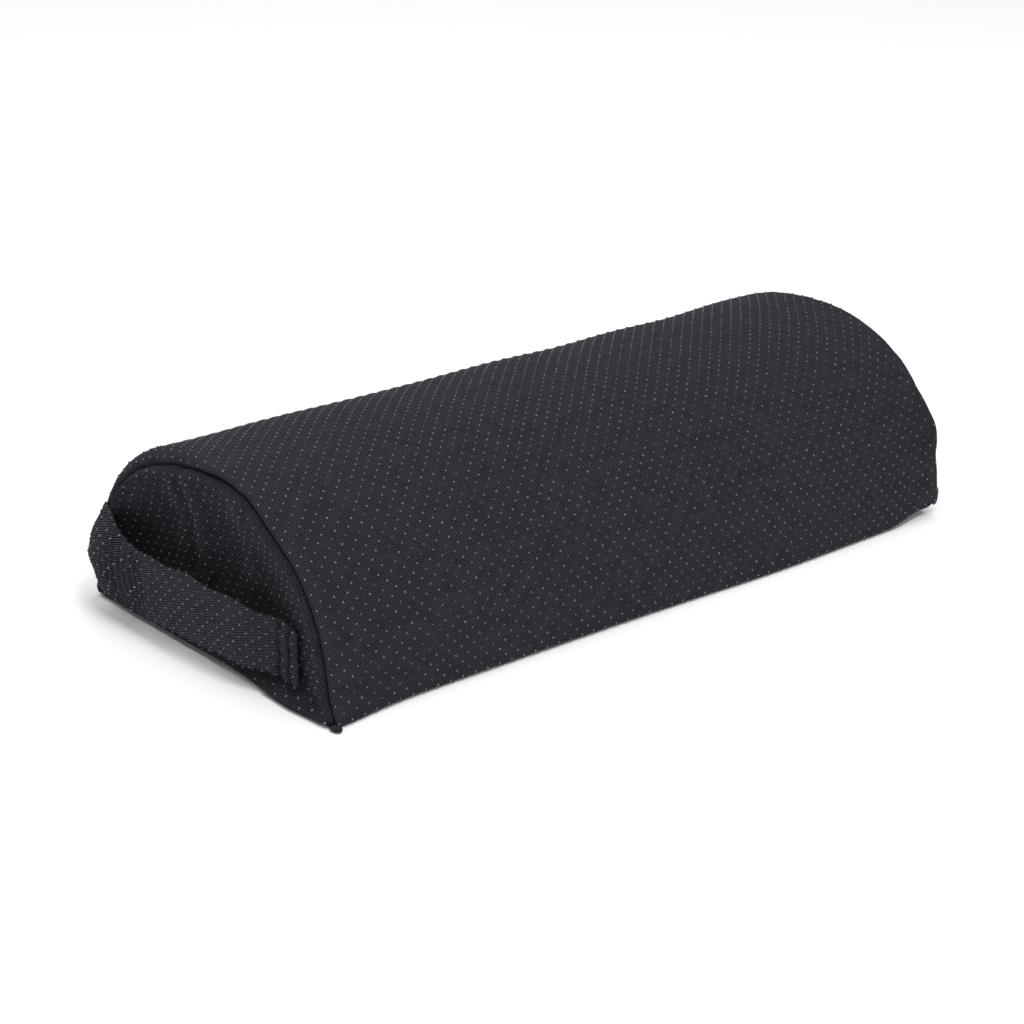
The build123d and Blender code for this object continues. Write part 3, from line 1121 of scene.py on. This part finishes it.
def corner_ears(cloth):
    """The seam allowances that show at the front corners of the base."""
    reverse = twill_cloth("cloth_reverse", grey(0.03, 1.2), grey(0.11, 1.2))
    left = Vector((-HALF_LENGTH - 0.6 * MM, -HALF_DEPTH - 4.6 * MM, 1.4 * MM))
    right = Vector((HALF_LENGTH - 1.6 * MM, -HALF_DEPTH + 3.2 * MM, 10.5 * MM))
    seam_ear("left_ear", left, (2.6, 3.4, 1.2), 6, cloth)
    seam_ear("right_ear", right, (1.7, 2.0, 5.2), 8, reverse)


def d_block(name, inset):
    """A closed block of the D section, with every face in by inset and its end edges rounded."""
    bm = bmesh.new()
    bmesh.ops.create_circle(bm, cap_ends=True, segments=180, radius=1.0)
    made = bmesh.ops.extrude_face_region(bm, geom=bm.faces[:])["geom"]
    moved(made, Vector((0, 0, 1)))
    for vertex in bm.verts:
        share = math.atan2(vertex.co.y, vertex.co.x) / (2 * math.pi) % 1
        y, z = drawn_in(*section(share, 1.0), inset)
        vertex.co = ((HALF_LENGTH - inset - FILLING_SHY) * (2 * vertex.co.z - 1), y, z)
    bmesh.ops.recalc_face_normals(bm, faces=bm.faces)
    rims = [e for e in bm.edges if abs(e.verts[0].co.x - e.verts[1].co.x) < MM]
    eased(bm, rims, FILLING_ROUND, 4)
    return finish_mesh(bm, name)


def filling():
    """The foam block and the thin liner round it, both inside the cover."""
    parts = (
        ("foam_block", FOAM_INSET, foam_finish(), "foam", "foam_core", 1.0),
        ("foam_sock", LINER_INSET, liner_finish(), "liner_cloth", "foam_liner", 0.9),
    )
    for name, inset, material, slot, node, fill in parts:
        obj = piece(name, d_block(name, inset), material, "bolster")
        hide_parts(node)


# -------- zip


def zip_frame():
    """From the flat frame the zip is drawn in (along, outwards, across) to the cover's back."""
    tilt = Matrix.Rotation(ZIP_TILT, 4, "X")
    return Matrix.Translation((0, ZIP_FACE, ZIP_HEIGHT)) @ tilt


def zip_piece(name, bm, material, body, slot, *nodes):
    """A finished piece of the zip; edges that turn sharply stay crisp."""
    bmesh.ops.recalc_face_normals(bm, faces=bm.faces)
    for edge in bm.edges:
        edge.smooth = edge.calc_face_angle(0.0) < math.radians(40)
    bmesh.ops.transform(bm, matrix=zip_frame(), verts=bm.verts)
    obj = piece(name, finish_mesh(bm, name), material, body)
    if nodes:
        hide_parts(*nodes)
    return obj


def zip_coil(side, name, nylon):
    """One side of the chain: a row of nylon turns whose heads reach past the middle."""
    bm = bmesh.new()
    rod(bm, COIL_RADIUS, COIL_HEEL - COIL_HEAD, 8)
    rims = [e for e in bm.edges if abs(e.verts[0].co.z - e.verts[1].co.z) < 0.1 * MM]
    eased(bm, rims, 0.16 * MM, 1)
    bmesh.ops.scale(bm, vec=(1, 2.2, 1), verts=bm.verts)
    start = -COIL_REACH + (COIL_PITCH / 2 if side > 0 else 0)
    shift = (start, -0.35 * MM, side * (COIL_HEAD + COIL_HEEL) / 2)
    bmesh.ops.translate(bm, vec=shift, verts=bm.verts)
    unit = bm.verts[:] + bm.edges[:] + bm.faces[:]
    for i in range(1, int(2 * COIL_REACH / COIL_PITCH)):
        moved(bmesh.ops.duplicate(bm, geom=unit)["geom"], Vector((COIL_PITCH * i, 0, 0)))
    zip_piece(f"coil_{name}", bm, nylon, "bolster", "zip_coil", f"zip_coil_{name}")


def zip_guard(tape):
    """The strip of tape cloth behind the zip that keeps the filling away from the slider."""
    bm = bmesh.new()
    reach = ZIP_HALF + 6 * MM
    block(bm, (-reach, *GUARD_LOW), (reach, *GUARD_HIGH), 0.1 * MM, 1)
    zip_piece("zip_guard", bm, tape, "bolster", "zip_tape")


def slider_body(paint):
    """The slider: a tapered top plate with lips, a back plate, a wedge and a round bail."""
    bm = bmesh.new()
    near, far = SLIDER_REST - SLIDER_HALF_LENGTH, SLIDER_REST + SLIDER_HALF_LENGTH
    half = SLIDER_HALF_WIDTH
    points = []
    for low, high in SLIDER_PLATES:
        points += block(bm, (near, low, -half), (far, high, half), 0.35 * MM, 3)
    for side in (-1, 1):
        low, high = sorted((side * (half - SLIDER_LIP), side * half))
        points += block(bm, (near, -1.1 * MM, low), (far, 1.2 * MM, high), 0.25 * MM, 2)
    for vertex in points:
        toward_chain = (far - vertex.co.x) / (far - near)
        vertex.co.z *= 1 - SLIDER_TAPER * toward_chain**2
    block(bm, (far - 4 * MM, -2.6 * MM, -0.3 * MM), (far - 1 * MM, 1.2 * MM, 0.3 * MM), 0.1 * MM, 1)
    arch = bmesh.ops.create_circle(bm, cap_ends=False, segments=10, radius=BAIL_WIRE)["verts"]
    turn_points(bm, arch, math.pi / 2, "X")
    bmesh.ops.scale(bm, vec=(1, 1, 2.0), verts=arch)
    hub = Vector((SLIDER_REST, 1.7 * MM, 0))
    bmesh.ops.translate(bm, vec=hub + Vector((BAIL_RADIUS, 0, 0)), verts=arch)
    ring = list({e for v in arch for e in v.link_edges})
    bmesh.ops.spin(
        bm, geom=arch + ring, cent=hub, axis=(0, 0, 1), angle=math.pi, steps=14, use_merge=False
    )
    bmesh.ops.holes_fill(bm, edges=[e for e in bm.edges if e.is_boundary], sides=0)
    zip_piece("slider", bm, paint, "slider", "zip_metal", "zip_slider")


def slider_pull(paint):
    """The pull: a rod under the bail, two arms and a long tab with a sunk grip."""
    bm = bmesh.new()
    wire = 0.5 * MM
    hinge = Vector((SLIDER_REST, PULL_HINGE, 0))
    bmesh.ops.translate(bm, vec=hinge, verts=rod(bm, wire, 2 * PULL_ARM[1], 12))
    for side in (-1, 1):
        low, high = sorted((side * PULL_ARM[0], side * PULL_ARM[1]))
        near, far = Vector((-PULL_ARM_LENGTH, -wire, low)), Vector((wire, wire, high))
        block(bm, hinge + near, hinge + far)
    tab = bmesh.ops.create_cube(bm, size=1.0)["verts"]
    bmesh.ops.scale(bm, vec=PULL_TAB, verts=tab)
    bmesh.ops.translate(bm, vec=hinge - Vector((PULL_TAB_MIDDLE, 0, 0)), verts=tab)
    edges = {e for v in tab for e in v.link_edges}
    corners = [e for e in edges if abs(e.verts[0].co.y - e.verts[1].co.y) > 0.5 * MM]
    rounded = eased(bm, corners, 2.2 * MM, 6)
    bmesh.ops.recalc_face_normals(bm, faces=bm.faces)
    faces = list({f for v in rounded for f in v.link_faces if abs(f.normal.y) > 0.9})
    bmesh.ops.inset_region(bm, faces=faces, thickness=1.0 * MM, depth=0.0)
    bmesh.ops.inset_region(bm, faces=faces, thickness=0.3 * MM, depth=-0.3 * MM)
    zip_piece("pull_tab", bm, paint, "pull", "zip_metal", "zip_pull")


def zipper(nylon, paint, tape):
    for side, name in ((1, "upper"), (-1, "lower")):
        zip_coil(side, name, nylon)
    zip_guard(tape)
    slider_body(paint)
    slider_pull(paint)
    for node in ("zip_tape_upper", "zip_tape_lower"):
        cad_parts[node].material_slots[0].material = tape
    for node in ("zip_top_stops", "zip_bottom_stop"):
        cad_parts[node].material_slots[0].material = paint


def build():
    cloth = twill_cloth("grip_cloth", grey(0.002), grey(0.047))
    # painted shade: the end panels get a darker copy of the cover cloth
    end_cloth_painted_shade = twill_cloth("end_cloth_painted_shade", grey(0.002), grey(0.042))
    rubber = grip_rubber()
    wrap_cover(cloth)
    wrap_dots(rubber)
    end_cover(-1, "left_end", end_cloth_painted_shade, rubber)
    end_cover(1, "right_end", end_cloth_painted_shade, rubber)
    thread = thread_finish()
    # painted light: the strap gets a lighter copy of the cover cloth
    strap = carry_strap(twill_cloth("strap_cloth_painted_light", grey(0.002), grey(0.061)), rubber)
    tab_stitches(thread, strap)
    corner_ears(cloth)
    zip_stitches(thread)
    filling()
    zipper(nylon_finish(), black_metal(), tape_finish())


# -------- studio


def studio():
    bpy.context.scene.view_settings.view_transform = "Standard"
    bm = bmesh.new()
    bmesh.ops.create_grid(bm, x_segments=1, y_segments=1, size=4.0)
    mesh = finish_mesh(bm, "studio_floor")
    mesh.materials.append(floor_finish())
    floor = bpy.data.objects.new("studio_floor", mesh)
    bpy.context.collection.objects.link(floor)


def softbox(name, place, aim, width, height, power):
    """A rectangular soft lamp that faces its aim."""
    lamp = bpy.data.lights.new(name, "AREA")
    lamp.shape = "RECTANGLE"
    lamp.size, lamp.size_y = width, height
    lamp.energy = power
    obj = bpy.data.objects.new(name, lamp)
    obj.location = place
    obj.rotation_euler = (Vector(aim) - Vector(place)).to_track_quat("-Z", "Y").to_euler()
    bpy.context.collection.objects.link(obj)


def lights():
    world = bpy.data.worlds.new("studio_light")
    bpy.context.scene.world = world
    world.use_nodes = True
    glow = world.node_tree.nodes["Background"].inputs
    glow["Color"].default_value = (1, 1, 1, 1)
    glow["Strength"].default_value = 0.38
    middle = (0, 0, 0.05)
    softbox("ceiling", (0, 0.6, 3.2), (0, 0.6, 0), 6.0, 6.0, 142)
    softbox("key_box", (-0.35, -0.9, 1.4), middle, 0.5, 0.25, 9)
    softbox("front_box", (-0.4, -2.0, 0.9), middle, 0.8, 0.8, 10)


def camera():
    """A long lens from the front left, a little above."""
    azimuth, elevation = math.radians(-40.4), math.radians(22.14)
    distance = 1.268
    level = Vector((math.sin(azimuth), -math.cos(azimuth), 0))
    back = level * math.cos(elevation) + Vector((0, 0, math.sin(elevation)))
    right = (-back).cross(Vector((0, 0, 1))).normalized()
    up = right.cross(-back)
    aim = right * -0.0119 + up * 0.0206
    lens = bpy.data.cameras.new("camera")
    lens.lens = 86.8
    lens.clip_end = 20
    obj = bpy.data.objects.new("camera", lens)
    obj.location = back * distance
    obj.rotation_euler = (aim - obj.location).to_track_quat("-Z", "Y").to_euler()
    bpy.context.collection.objects.link(obj)
    bpy.context.scene.camera = obj


build()
studio()
lights()
camera()
